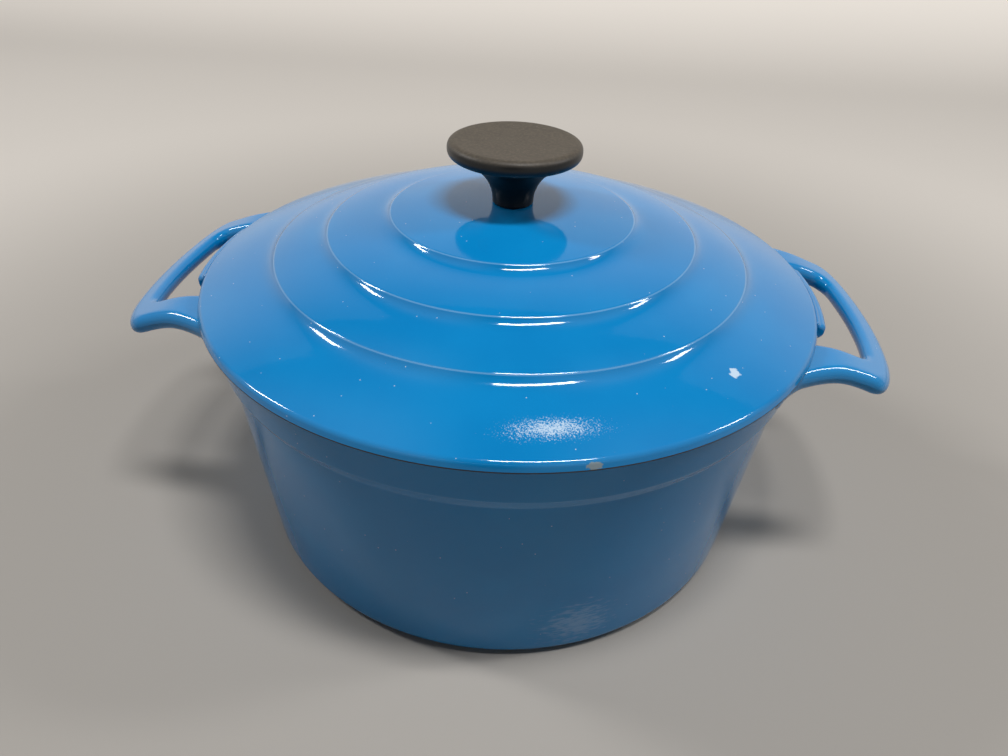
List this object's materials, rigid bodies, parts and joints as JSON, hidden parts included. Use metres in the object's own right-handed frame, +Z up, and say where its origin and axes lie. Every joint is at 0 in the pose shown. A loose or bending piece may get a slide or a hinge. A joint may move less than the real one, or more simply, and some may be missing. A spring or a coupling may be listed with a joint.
{
  "type": "dutch oven",
  "caption": "Round enamelled cast-iron dutch oven with cast loop handles, a stepped lid that lifts off, and a mushroom knob screwed to the lid.",
  "frame": {"origin": "middle of the base, on the surface that the pot stands on", "axes": "+Z up through the knob, +X through one loop handle, -Y towards the picture's viewer"},
  "size_m": [0.3224, 0.2596, 0.173],
  "materials": {
    "blue_enamel": "glossy blue vitreous enamel on cast iron, pale enamel inside the pot and under the lid",
    "black_phenolic": "satin moulded phenolic, worn on top",
    "brass": "turned",
    "steel": "zinc plated"
  },
  "bodies": {
    "pot": {"pot_casting": "blue_enamel"},
    "lid": {"lid_casting": "blue_enamel", "lid_knob": "black_phenolic", "knob_insert": "brass", "knob_screw": "steel", "flat_washer": "steel", "spring_washer": "steel"}
  },
  "joints": [
    {"name": "lid_lift", "type": "slide", "parent": "pot", "child": "lid", "axis": [0, 0, 1], "range_m": [0, 0.2]}
  ]
}
